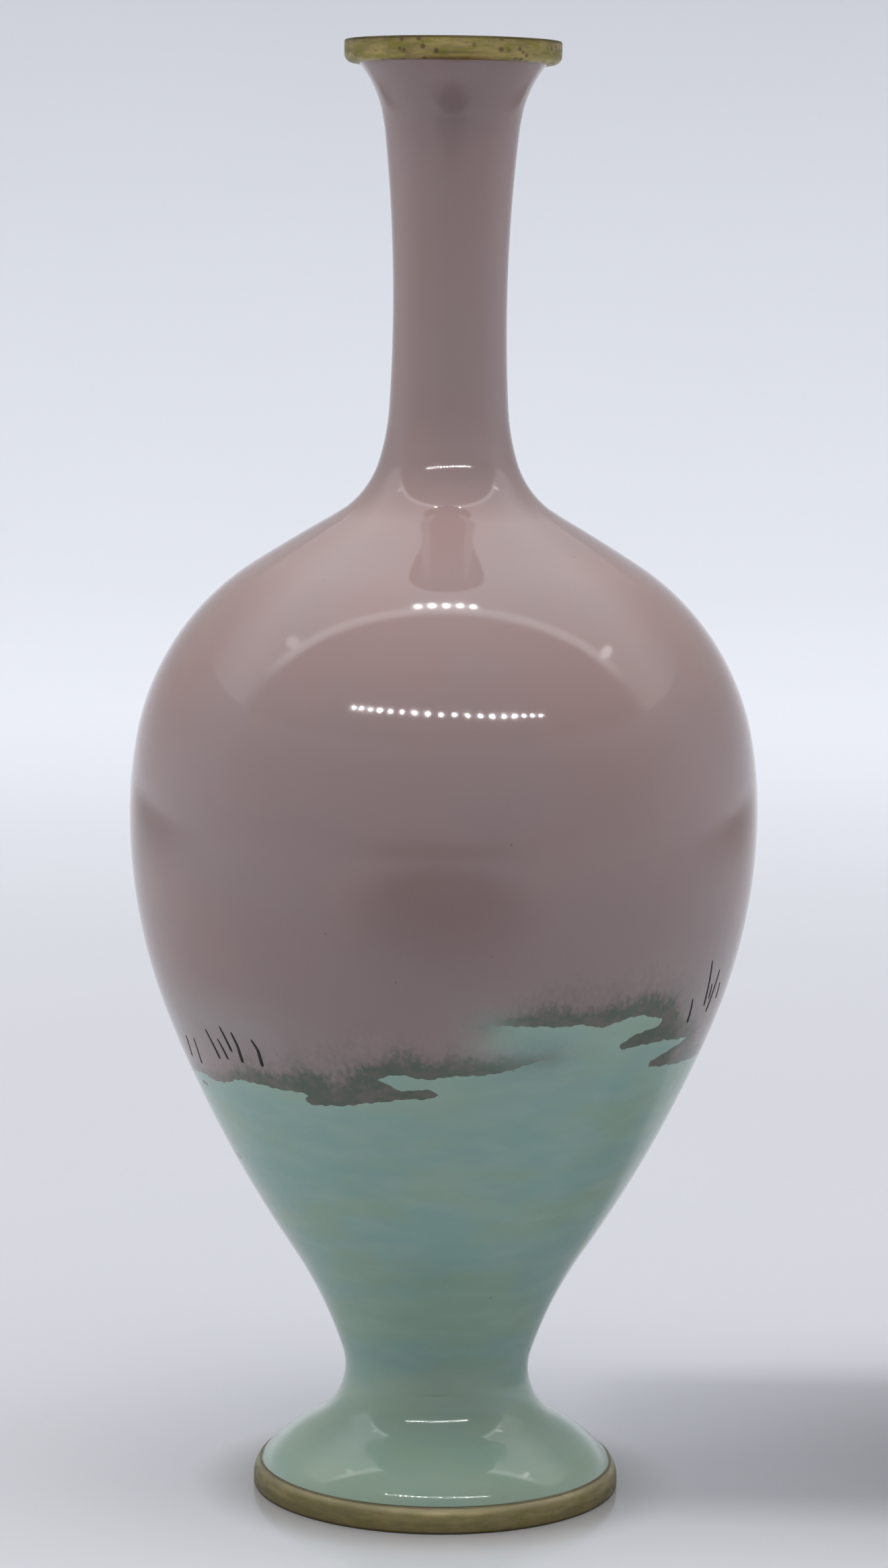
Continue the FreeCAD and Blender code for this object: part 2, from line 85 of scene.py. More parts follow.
# Shores: stretches of (bearing, height, how much grass stands on it). "under" is water
# below land, "over" is water above a spit, "soft" is a side that melts into the water.
LEFT_SHORE = [
    ("under", [(-100, 72.4, 0.3), (-82, 72.8, 0.3), (-66, 74.4, 0.2), (-58, 74, 0.25),
               (-48, 75.6, 0.45), (-38, 75.4, 0.65), (-28.5, 75.2, 0.8)]),
    ("under", [(-28.5, 75.2, 0.8), (-30.4, 74.1, 0.9), (-29, 73.3, 0.95)]),
    ("under", [(-29, 73.3, 0.95), (-24.6, 73.5, 1), (-19.6, 74, 1), (-8.1, 75.5, 0.9),
               (-2.5, 75.9, 0.85), (0.2, 76.4, 0.8)]),
    ("over", [(0.2, 76.4, 0.8), (-1.8, 77.2, 0.8), (-8.7, 77.3, 0.7), (-13.3, 79.1, 0.6)]),
    ("under", [(-13.3, 79.1, 0.6), (-9.2, 79.8, 1), (-2.1, 79.3, 1), (4.4, 80, 0.9), (9.1, 80, 0.8),
               (16, 81.3, 0.6), (22.5, 82.7, 0.45)]),
    ("soft", [(22.5, 82.7, 0.2), (14.3, 83.2, 0.05), (9.5, 85, 0), (9.5, 88.5, 0)]),
]
RIGHT_SHORE = [
    ("under", [(9.5, 88.5, 0.2), (15.9, 88.4, 0.5), (21.3, 88, 0.7), (28.5, 87.9, 0.85),
               (32.5, 87.3, 0.9), (39.3, 88.5, 1), (48.5, 87.3, 0.8)]),
    ("over", [(48.5, 87.3, 0.8), (47.8, 86.1, 0.8)]),
    ("over", [(47.8, 86.1, 0.8), (41.7, 85.2, 0.8), (37.5, 83.6, 0.85)]),
    ("under", [(37.5, 83.6, 0.85), (38.8, 82.8, 0.85)]),
    ("under", [(38.8, 82.8, 0.85), (47.5, 83.2, 0.8), (60.5, 82.5, 0.5)]),
    ("over", [(60.5, 82.5, 0.5), (54, 80.9, 0.6), (48.6, 79.8, 0.7)]),
    ("under", [(48.6, 79.8, 0.75), (48.9, 78.8, 0.75)]),
    ("under", [(48.9, 78.8, 0.75), (57.3, 78.1, 0.6), (71, 77.6, 0.45), (86, 76.8, 0.35),
               (100, 76.6, 0.35)]),
]
BACK_SHORE = [
    ("under", [(100, 76.6, 0.35), (122, 77.4, 0.6), (140, 78.6, 0.8), (151, 80.4, 0.7)]),
    ("over", [(151, 80.4, 0.7), (141, 81.4, 0.7), (135, 82.6, 0.8)]),
    ("under", [(135, 82.6, 0.8), (152, 83.4, 1.0), (171, 82.6, 0.9), (186, 79.6, 0.8)]),
    ("under", [(186, 79.6, 0.8), (204, 77.0, 0.7), (223, 75.0, 0.5), (241, 73.4, 0.35),
               (260, 72.4, 0.3)]),
]
BANKS = [
    ("left_bank", LEFT_SHORE, 90.5),
    ("right_bank", RIGHT_SHORE, 97.0),
    ("back_bank", BACK_SHORE, 93.0),
]
# Islets: bearing, height, half length in degrees, half height.
ISLETS = [(-68, 72.4, 2.3, 0.45), (-71.5, 59.2, 3.6, 0.4), (163, 73.0, 3.0, 0.4)]
HORIZON = 89.4

# Reeds: (bearing, height) points from the tip to the foot, width at tip and foot.
LEFT_REEDS = [
    ([(-67.3, 80.8), (-69.0, 77.0)], 0.24, 0.34),
    ([(-62.7, 81.0), (-63.9, 76.4)], 0.24, 0.38),
    ([(-55.3, 83.6), (-53.4, 78.7)], 0.29, 0.50),
    ([(-51.7, 82.4), (-50.3, 79.0)], 0.26, 0.46),
    ([(-49.6, 84.8), (-48.0, 80.6)], 0.29, 0.50),
    ([(-46.3, 84.2), (-45.6, 81.9), (-45.5, 79.0)], 0.31, 0.60),
    ([(-40.8, 83.6), (-39.8, 81.8), (-39.7, 79.0)], 0.31, 0.60),
]
RIGHT_REEDS = [
    ([(61.4, 95.6), (63.6, 87.6)], 0.29, 0.50),
    ([(66.6, 93.4), (66.0, 86.2)], 0.29, 0.50),
    ([(64.4, 91.2), (65.0, 88.6)], 0.26, 0.38),
    ([(69.2, 90.8), (69.9, 88.0)], 0.24, 0.34),
    ([(57.2, 89.6), (58.1, 85.4)], 0.26, 0.46),
]
BACK_REEDS = [
    ([(157.0, 90.6), (158.4, 85.2)], 0.29, 0.50),
    ([(160.0, 89.2), (160.6, 84.9)], 0.26, 0.46),
    ([(214.0, 84.6), (212.8, 79.2)], 0.29, 0.50),
    ([(216.5, 83.4), (216.2, 79.0)], 0.26, 0.46),
]

# Mist over the shores: bearing, height, half width in degrees, half height, strength.
MISTS = [
    (-70, 83, 30, 7, 0.9), (-42, 85, 12, 5, 0.6), (-24, 80, 8, 4, 0.35),
    (16, 86.5, 9, 3.5, 0.7), (60, 92, 20, 7, 0.7), (95, 86, 22, 8, 0.6),
    (140, 92, 22, 7, 0.5), (205, 86, 26, 8, 0.7), (245, 82, 20, 7, 0.8),
]


# ---------------- outline


def walk_outline():
    """Dense (radius, height, lean) stations of the outside, from foot to mouth."""
    runs = []
    for arcs in (LOWER, UPPER):
        radius, height, lean = BELLY_RADIUS, BELLY_HEIGHT, 0.0
        run = []
        for bend, next_lean in arcs:
            centre_radius = radius - bend * math.cos(math.radians(lean))
            centre_height = height - bend * math.sin(math.radians(lean))
            steps = 60
            for step in range(1, steps + 1):
                angle = lean + (next_lean - lean) * step / steps
                radius = centre_radius + bend * math.cos(math.radians(angle))
                height = centre_height + bend * math.sin(math.radians(angle))
                run.append((radius, height, angle))
            lean = next_lean
        runs.append(run)
    start = [(BELLY_RADIUS, BELLY_HEIGHT, 0.0)]
    return np.array(runs[0][::-1] + start + runs[1])


OUTLINE = walk_outline()
GLASS_FOOT = FOOT_HIGH.z / MM
GLASS_TOP = MOUTH_LOW.z / MM


def radius_at(height):
    return np.interp(height, OUTLINE[:, 1], OUTLINE[:, 0])


def lean_at(height):
    """How far the outward normal tips up, rounded over where the glass meets the foot band."""
    lean = np.interp(height, OUTLINE[:, 1], OUTLINE[:, 2])
    above = np.maximum(np.asarray(height) - GLASS_FOOT, 0.0)
    rounded = np.exp(-above / EDGE_REACH)
    return np.radians(lean + (np.minimum(EDGE_LEAN, lean) - lean) * rounded)


def on_vase(bearing, height, depth=0.0):
    """Positions in metres and outward normals at bearings and heights, at a depth."""
    angle = np.radians(bearing)
    lean = lean_at(height)
    normal = np.stack(
        [np.cos(lean) * np.sin(angle), -np.cos(lean) * np.cos(angle), np.sin(lean)], axis=-1
    )
    radius = radius_at(height)
    spot = np.stack([radius * np.sin(angle), -radius * np.cos(angle), height], axis=-1)
    return (spot - normal * np.asarray(depth)[..., None]) * MM, normal


# ---------------- shores


def ripple(along, seed, size):
    """A small smooth wandering for a line that was laid by hand."""
    chance = np.random.default_rng(seed)
    total = np.zeros_like(along)
    for wavelength, share in ((7.0, 0.3), (3.3, 0.35), (1.6, 0.25), (0.9, 0.1)):
        phase = chance.uniform(0, 2 * math.pi)
        stretch = chance.uniform(0.85, 1.15)
        total += share * np.sin(2 * math.pi * along / (wavelength * stretch) + phase)
    return size * total


def smooth_stretch(points, seed, size):
    """A dense smooth curve through points, with a hand-laid wandering between its ends."""
    points = np.array(points, float)
    flat = points[:, :2] * [math.radians(1) * SHORE_RADIUS, 1]
    chords = np.linalg.norm(np.diff(flat, axis=0), axis=1)
    knots = np.concatenate([[0], np.cumsum(chords)])
    slopes = np.gradient(points, knots, axis=0)
    count = max(4, int(knots[-1] / SHORE_SPACING))
    along = np.linspace(0, knots[-1], count + 1)
    index = np.clip(np.searchsorted(knots, along, side="right") - 1, 0, len(knots) - 2)
    span = (knots[index + 1] - knots[index])[:, None]
    part = ((along - knots[index])[:, None]) / span
    curve = (
        (2 * part**3 - 3 * part**2 + 1) * points[index]
        + (part**3 - 2 * part**2 + part) * span * slopes[index]
        + (3 * part**2 - 2 * part**3) * points[index + 1]
        + (part**3 - part**2) * span * slopes[index + 1]
    )
    taper_length = 1.5
    taper = np.clip(np.minimum(along, knots[-1] - along) / taper_length, 0, 1)
    curve[:, 1] += ripple(along, seed, size) * taper
    return curve


def flat_millimetres(bearing, height):
    """Bearing and height as distances on the glass, near enough for the shores."""
    return np.stack([np.radians(bearing) * radius_at(height), height], axis=-1)


def nearest_on_line(spots, line, values):
    """Distance from each spot to a polyline, and the line's value at the nearest place."""
    best = np.full(len(spots), 1e9)
    value = np.zeros(len(spots))
    for start, end, first, last in zip(line[:-1], line[1:], values[:-1], values[1:]):
        chord = end - start
        length = chord @ chord
        if length == 0:
            continue
        part = np.clip((spots - start) @ chord / length, 0, 1)
        away = np.linalg.norm(spots - start - part[:, None] * chord, axis=1)
        closer = away < best
        best[closer] = away[closer]
        value[closer] = (first + part * (last - first))[closer]
    return best, value


def inside_outline(spots, outline):
    """True where a spot lies inside a closed outline."""
    inside = np.zeros(len(spots), bool)
    following = np.roll(outline, -1, axis=0)
    for (x1, y1), (x2, y2) in zip(outline, following):
        crossing = (y1 > spots[:, 1]) != (y2 > spots[:, 1])
        if y1 != y2:
            crossing &= spots[:, 0] < (x2 - x1) * (spots[:, 1] - y1) / (y2 - y1) + x1
        inside ^= crossing
    return inside


SHORE_LINES = []
BANK_OUTLINES = {}
for bank, shore, top in BANKS:
    outline = []
    for kind, points in shore:
        wander = 0.0 if kind == "soft" else SHORE_WANDER
        curve = smooth_stretch(points, seed=len(SHORE_LINES) + 11, size=wander)
        SHORE_LINES.append((kind, curve))
        outline.extend(curve[:-1, :2].tolist())
    last, first = shore[-1][1][-1], shore[0][1][0]
    outline += [list(last[:2]), [last[0], top], [first[0], top]]
    BANK_OUTLINES[bank] = np.array(outline)


def depth_in(outline, vertices):
    """How far inside an outline each (bearing, height) vertex is; negative is outside."""
    closed = np.vstack([outline, outline[:1]])
    line = flat_millimetres(closed[:, 0], closed[:, 1])
    far_outside, margin = -9.0, 2.0
    depth = np.full(len(vertices), far_outside)
    low, high = outline.min(axis=0) - margin, outline.max(axis=0) + margin
    near = np.all((vertices >= low) & (vertices <= high), axis=1)
    spots = flat_millimetres(vertices[near, 0], vertices[near, 1])
    away, _ = nearest_on_line(spots, line, np.zeros(len(line)))
    inside = inside_outline(vertices[near], outline)
    depth[near] = np.where(inside, away, -away)
    return depth


def depth_in_islet(islet, vertices):
    """The same for an islet, an oval with a slightly wandering edge."""
    bearing, height, half_length, half_height = islet
    across = (vertices[:, 0] - bearing) / half_length
    up = (vertices[:, 1] - height) / half_height
    wander = 0.12 * np.sin(vertices[:, 0] * 2.3) + 0.08 * np.sin(vertices[:, 0] * 5.1)
    return (1 + wander - np.hypot(across, up)) * half_height


# ---------------- the glass, cut along the shores

WEST, EAST = -100.0, 260.0
COARSE_STEP = 1.0
FINE_STEP = 0.5
# The heights of the shores and of the low islet, and the row steps used across them.
SHORE_LOW, SHORE_HIGH, SHORE_STEP = 71.2, 97.4, 0.45
ISLET_LOW, ISLET_HIGH, ISLET_STEP = 58.2, 60.2, 0.3
FACET_DEPTH, WIDEST_STEP = 0.01, 3.0


def glass_rows():
    """Heights of the mesh rows: as far apart as the bends allow, close at the shores."""
    rows = [GLASS_FOOT]
    while rows[-1] < GLASS_TOP - 0.2:
        height = rows[-1]
        lean = float(lean_at(height))
        bend = abs(np.interp(height, OUTLINE[1:, 1], BENDS))
        step = min(math.sqrt(8 * bend * FACET_DEPTH), WIDEST_STEP) * math.cos(lean)
        if SHORE_LOW < height < SHORE_HIGH:
            step = SHORE_STEP
        elif ISLET_LOW < height < ISLET_HIGH:
            step = ISLET_STEP
        elif height < SHORE_LOW < height + step:
            step = SHORE_LOW + 0.01 - height
        elif height < ISLET_LOW < height + step:
            step = ISLET_LOW + 0.01 - height
        rows.append(min(height + step, GLASS_TOP))
    rows = np.array(rows)
    rows[np.argmin(abs(rows - HORIZON))] = HORIZON
    rows[-1] = GLASS_TOP
    return rows


SPANS = np.linalg.norm(np.diff(OUTLINE[:, :2], axis=0), axis=1)
BENDS = SPANS / np.maximum(np.radians(abs(np.diff(OUTLINE[:, 2]))), 1e-6)


def glass_cells(rows):
    """Vertices (bearing, height) and the cells between the rows, coarse and fine."""
    fine = (rows > ISLET_LOW - 0.2) & (rows < SHORE_HIGH + 0.2)
    counts = [int((EAST - WEST) / (FINE_STEP if close else COARSE_STEP)) for close in fine]
    starts = np.concatenate([[0], np.cumsum([count + 1 for count in counts])])
    vertices = []
    for height, count in zip(rows, counts):
        bearings = np.linspace(WEST, EAST, count + 1)
        vertices.append(np.stack([bearings, np.full(count + 1, height)], axis=1))
    cells = []
    for row in range(len(rows) - 1):
        below, above = counts[row], counts[row + 1]
        cell_count = min(below, above)
        low_share, high_share = below // cell_count, above // cell_count
        for column in range(cell_count):
            low = range(column * low_share, (column + 1) * low_share + 1)
            high = range(column * high_share, (column + 1) * high_share + 1)
            cell = [int(starts[row]) + spot for spot in low]
            cell += [int(starts[row + 1]) + spot for spot in reversed(high)]
            cells.append(cell)
    return np.vstack(vertices), cells


def split_cells(vertices, cells, depth):
    """Cut cells along the line where depth is nothing: (vertices, inside, outside)."""
    snap = 0.04
    depth = np.where(abs(depth) < snap, 0.0, depth)
    added = []
    made = {}
    inside, outside = [], []

    def crossing(one, other):
        key = (min(one, other), max(one, other))
        if key not in made:
            low, high = key
            part = depth[low] / (depth[low] - depth[high])
            made[key] = len(vertices) + len(added)
            added.append(vertices[low] + part * (vertices[high] - vertices[low]))
        return made[key]

    for cell in cells:
        signs = [depth[vertex] for vertex in cell]
        if max(signs) <= 0:
            outside.append(cell)
            continue
        if min(signs) >= 0:
            inside.append(cell)
            continue
        kept, left = [], []
        for index, vertex in enumerate(cell):
            sign = signs[index]
            if sign >= 0:
                kept.append(vertex)
            if sign <= 0:
                left.append(vertex)
            follower = cell[(index + 1) % len(cell)]
            following = signs[(index + 1) % len(cell)]
            if sign * following < 0:
                spot = crossing(vertex, follower)
                kept.append(spot)
                left.append(spot)
        if len(kept) > 2:
            inside.append(kept)
        if len(left) > 2:
            outside.append(left)
    if added:
        vertices = np.vstack([vertices, np.array(added)])
    return vertices, inside, outside


FAR_FROM_SHORE = 40.0
SIDEWAYS = 0.7
BLEND_REACH = 1.2
MELT_REACH = 3.2


def shore_values(part):
    """Smoothly blended distance to the shores, grass there, and distance to soft shores."""
    squeeze = [SIDEWAYS, 1.0]
    spots = flat_millimetres(part[:, 0], part[:, 1]) * squeeze
    nearness = np.zeros(len(part))
    grassy = np.zeros(len(part))
    soft = np.full(len(part), FAR_FROM_SHORE)
    for turn in (-360, 0, 360):
        for kind, curve in SHORE_LINES:
            line = flat_millimetres(curve[:, 0] + turn, curve[:, 1])
            low, high = line[:, 0].min() - 20, line[:, 0].max() + 20
            flat = spots[:, 0] / squeeze[0]
            index = np.flatnonzero((flat > low) & (flat < high))
            if kind == "over" or not len(index):
                continue
            away, value = nearest_on_line(spots[index], line * squeeze, curve[:, 2])
            if kind == "soft":
                soft[index] = np.minimum(soft[index], away / squeeze[0])
                continue
            weight = np.exp(-away / BLEND_REACH)
            nearness[index] += weight
            grassy[index] += weight * value
    nearness = np.maximum(nearness, 1e-14)
    rise = np.maximum(-BLEND_REACH * np.log(nearness), 0.0)
    return rise, grassy / nearness, soft


def mist_values(part):
    mist = np.zeros(len(part))
    for bearing, height, half_width, half_height, strength in MISTS:
        turn = (part[:, 0] - bearing + 180) % 360 - 180
        across = (turn / half_width) ** 2
        up = ((part[:, 1] - height) / half_height) ** 2
        mist += strength * np.exp(-across - up)
    return np.clip(mist, 0, 1)


def paint_values(vertices, watery):
    """Values the glass colours need at each vertex: rise, grass, mist and wet."""
    count = len(vertices)
    values = {
        "rise": np.full(count, FAR_FROM_SHORE),
        "grass": np.zeros(count),
        "mist": np.zeros(count),
        "wet": np.full(count, 1.0 if watery else 0.0),
    }
    near = (vertices[:, 1] > 55) & (vertices[:, 1] < 110)
    part = vertices[near]
    rise, grass, soft = shore_values(part)
    melt = 0.5 * np.exp(-soft / MELT_REACH)
    values["rise"][near] = rise
    values["grass"][near] = grass
    values["mist"][near] = mist_values(part)
    values["wet"][near] = 1 - melt if watery else melt
    return values


def finish_mesh(name, points, faces, normals, values, node_names, material):
    """A Blender object from metre points, with given corner normals and values."""
    mesh = bpy.data.meshes.new(name)
    mesh.from_pydata(points.tolist(), [], faces)
    mesh.polygons.foreach_set("use_smooth", [True] * len(mesh.polygons))
    mesh.normals_split_custom_set(normals)
    for key, numbers in (values or {}).items():
        layer = mesh.attributes.new(key, "FLOAT", "POINT")
        layer.data.foreach_set("value", numbers)
    mesh.materials.append(material)
    piece = bpy.data.objects.new(name, mesh)
    bpy.context.scene.collection.objects.link(piece)
    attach(piece, "root")
    if node_names:
        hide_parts(*node_names)
    return piece


def shell(name, vertices, cells, watery, node, material):
    """A closed layer of glass over some cells, as thick as the enamel."""
    used = sorted({vertex for cell in cells for vertex in cell})
    flat = vertices[used]
    keys = {}
    place = {}
    kept = []
    for index, vertex in enumerate(used):
        bearing, height = flat[index]
        key = None
        if abs(bearing - WEST) < 1e-6 or abs(bearing - EAST) < 1e-6:
            key = round(float(height), 2)
            if key in keys:
                place[vertex] = keys[key]
                continue
            keys[key] = len(kept)
        place[vertex] = len(kept)
        kept.append(index)
    flat = flat[kept]
    outer, normal = on_vase(flat[:, 0], flat[:, 1])
    inner, _ = on_vase(flat[:, 0], flat[:, 1], GLASS)
    count = len(flat)
    top = [[place[vertex] for vertex in cell] for cell in cells]
    top = [[v for i, v in enumerate(cell) if v != cell[i - 1]] for cell in top]
    top = [cell for cell in top if len(cell) > 2]
    border = {}
    for cell in top:
        for one, other in zip(cell, cell[1:] + cell[:1]):
            if (other, one) in border:
                del border[(other, one)]
            else:
                border[(one, other)] = True
    walls = [[other, one, one + count, other + count] for one, other in border]
    under = [[vertex + count for vertex in reversed(cell)] for cell in top]
    points = np.vstack([outer, inner])
    normals = [tuple(normal[vertex]) for cell in top for vertex in cell]
    normals += [tuple(-normal[vertex - count]) for cell in under for vertex in cell]
    for wall in walls:
        side = np.cross(points[wall[1]] - points[wall[0]], points[wall[2]] - points[wall[1]])
        size = np.linalg.norm(side)
        side = side / size if size else normal[0]
        normals += [tuple(side)] * 4
    values = paint_values(flat, watery)
    values = {key: np.concatenate([numbers, numbers]) for key, numbers in values.items()}
    return finish_mesh(name, points, top + under + walls, normals, values, [node], material)


# ---------------- materials


class Nodes:
    """Short ways of adding shader nodes to one material."""

    def __init__(self, name):
        self.material = bpy.data.materials.new(name)
        self.material.use_nodes = True
        self.tree = self.material.node_tree
        self.shader = self.tree.nodes["Principled BSDF"]
        self.coordinates = self.add("ShaderNodeTexCoord").outputs["Object"]

    def add(self, kind, **settings):
        node = self.tree.nodes.new(kind)
        for key, value in settings.items():
            setattr(node, key, value)
        return node

    def put(self, socket, value):
        if isinstance(value, bpy.types.NodeSocket):
            self.tree.links.new(value, socket)
        else:
            socket.default_value = value

    def math(self, operation, one, other=0.0, clamp=False):
        node = self.add("ShaderNodeMath", operation=operation, use_clamp=clamp)
        self.put(node.inputs[0], one)
        self.put(node.inputs[1], other)
        return node.outputs[0]

    def times(self, one, other, clamp=False):
        return self.math("MULTIPLY", one, other, clamp)

    def position(self, axis):
        """The place along X, Y or Z in metres."""
        apart = self.add("ShaderNodeSeparateXYZ")
        self.put(apart.inputs[0], self.coordinates)
        return apart.outputs[axis]

    def mix(self, share, one, other):
        node = self.add("ShaderNodeMix", data_type="RGBA")
        self.put(node.inputs["Factor"], share)
        for socket, value in ((node.inputs[6], one), (node.inputs[7], other)):
            self.put(socket, value if isinstance(value, bpy.types.NodeSocket) else (*value, 1.0))
        return node.outputs[2]

    def range(self, value, low, high, to_low=0.0, to_high=1.0):
        node = self.add("ShaderNodeMapRange", interpolation_type="SMOOTHSTEP")
        for socket, number in zip(node.inputs, (value, low, high, to_low, to_high)):
            self.put(socket, number)
        return node.outputs[0]

    def noise(self, size, squash=(1, 1, 1), detail=3.0, rough=0.5, shift=0.0):
        """Noise with lumps of about a size in millimetres, squashed along each axis."""
        mapping = self.add("ShaderNodeMapping")
        self.put(mapping.inputs["Vector"], self.coordinates)
        mapping.inputs["Scale"].default_value = squash
        mapping.inputs["Location"].default_value = (shift, shift, shift)
        node = self.add("ShaderNodeTexNoise")
        self.put(node.inputs["Vector"], mapping.outputs[0])
        node.inputs["Scale"].default_value = 1 / (size * MM)
        node.inputs["Detail"].default_value = detail
        node.inputs["Roughness"].default_value = rough
        return node.outputs["Fac"]

    def specks(self, spacing, size, shift=0.0):
        """Sparse round specks: 1 inside a speck, with the given spacing and size."""
        mapping = self.add("ShaderNodeMapping")
        self.put(mapping.inputs["Vector"], self.coordinates)
        mapping.inputs["Location"].default_value = (shift, shift, shift)
        node = self.add("ShaderNodeTexVoronoi")
        self.put(node.inputs["Vector"], mapping.outputs[0])
        node.inputs["Scale"].default_value = 1 / (spacing * MM)
        return self.range(node.outputs["Distance"], size / spacing, 0.5 * size / spacing)

    def attribute(self, name):
        return self.add("ShaderNodeAttribute", attribute_name=name).outputs["Fac"]

    def bump(self, height, strength, distance):
        node = self.add("ShaderNodeBump")
        node.inputs["Strength"].default_value = strength
        node.inputs["Distance"].default_value = distance * MM
        self.put(node.inputs["Height"], height)
        self.put(self.shader.inputs["Normal"], node.outputs[0])

    def set(self, **values):
        for key, value in values.items():
            self.put(self.shader.inputs[key.replace("_", " ")], value)


SKY_WARM = (0.240, 0.166, 0.157)
SKY_COOL = (0.229, 0.169, 0.165)
MIST = (0.248, 0.222, 0.216)
GRASS_DARK = (0.066, 0.086, 0.062)
GRASS_BROWN = (0.104, 0.098, 0.078)
WATER = (0.205, 0.330, 0.275)
WATER_BLUE = (0.190, 0.325, 0.300)
WATER_GREEN = (0.225, 0.332, 0.250)
WATER_PALE = (0.270, 0.380, 0.322)
WATER_SAGE = (0.262, 0.330, 0.245)


def sky_colour(nodes):
    """Greyish mauve in soft clouds, with a fine grain and pale mist over the shores."""
    clouds = nodes.range(nodes.noise(26, detail=2), 0.35, 0.65)
    sky = nodes.mix(clouds, SKY_COOL, SKY_WARM)
    grain = nodes.range(nodes.noise(1.1, detail=2, shift=0.3), 0.3, 0.7)
    sky = nodes.mix(nodes.times(grain, 0.16), sky, SKY_COOL)
    lumps = nodes.noise(9, squash=(1, 1, 1.8), detail=3, shift=0.7)
    veil = nodes.range(lumps, 0.25, 0.75, 0.5, 1.0)
    veil = nodes.times(nodes.attribute("mist"), veil)
    return nodes.mix(veil, sky, MIST)


def land_colour(nodes, rise, sky):
    """Dark turf along the shore that thins out upwards into the sky in fine blades."""
    grass = nodes.attribute("grass")
    blades = nodes.noise(0.8, squash=(1, 1, 0.6), detail=3, rough=0.6, shift=0.1)
    clumps = nodes.noise(6.5, squash=(1, 1, 0.8), detail=2, shift=0.5)
    reach = nodes.range(clumps, 0.3, 0.7, 1.7, 3.0)
    reach = nodes.times(reach, nodes.range(blades, 0.3, 0.7, 0.8, 1.2))
    reach = nodes.times(reach, nodes.math("ADD", grass, 0.35))
    fall = nodes.math("DIVIDE", rise, reach)
    dense = nodes.range(fall, 0.35, 1.8, 1.0, 0.0)
    thin = nodes.range(fall, 0.0, 3.2, 0.36, 0.0)
    cover = nodes.times(nodes.math("MAXIMUM", dense, thin), nodes.range(grass, 0.0, 0.6, 0.3, 1.0))
    cover = nodes.times(cover, nodes.range(blades, 0.25, 0.6, 0.85, 1.15), clamp=True)
    lumps = nodes.noise(3.6, squash=(1, 1, 2.2), detail=3, shift=0.9)
    turf = nodes.mix(nodes.range(lumps, 0.42, 0.62), GRASS_DARK, GRASS_BROWN)
    return nodes.mix(cover, sky, turf)


def water_colour(nodes, rise):
    """Blue and green water in level bands, paler by the shore and greyer at the foot."""
    bands = nodes.noise(21, squash=(1, 1, 2.6), detail=3, shift=0.2)
    water = nodes.mix(nodes.range(bands, 0.38, 0.62), WATER_BLUE, WATER_GREEN)
    water = nodes.mix(0.25, water, WATER)
    shallows = nodes.math("POWER", math.e, nodes.times(rise, -0.35))
    water = nodes.mix(nodes.times(shallows, 0.5), water, WATER_PALE)
    pools = nodes.noise(11, squash=(1, 1, 3.5), detail=3, shift=0.6)
    water = nodes.mix(nodes.range(pools, 0.42, 0.68, 0.0, 0.35), water, WATER_PALE)
    low = nodes.range(nodes.position("Z"), 0.034, 0.010, 0.0, 0.6)
    return nodes.mix(low, water, WATER_SAGE)


def painted_glass(name):
    """Sky, land and water colours in one polished glass, led by the mesh's values."""
    nodes = Nodes(name)
    rise = nodes.attribute("rise")
    land = land_colour(nodes, rise, sky_colour(nodes))
    colour = nodes.mix(nodes.attribute("wet"), land, water_colour(nodes, rise))
    dark_specks = nodes.times(nodes.specks(9.0, 0.22), 0.5)
    nodes.set(Base_Color=nodes.mix(dark_specks, colour, (0.03, 0.025, 0.02)))
    nodes.set(Roughness=nodes.range(nodes.noise(5, detail=3), 0.3, 0.7, 0.055, 0.085))
    nodes.set(IOR=1.52)
    fine_peel = nodes.times(nodes.noise(2.2, detail=1), 0.12)
    nodes.bump(nodes.math("ADD", nodes.noise(14, detail=1), fine_peel), 0.12, 0.35)
    return nodes.material


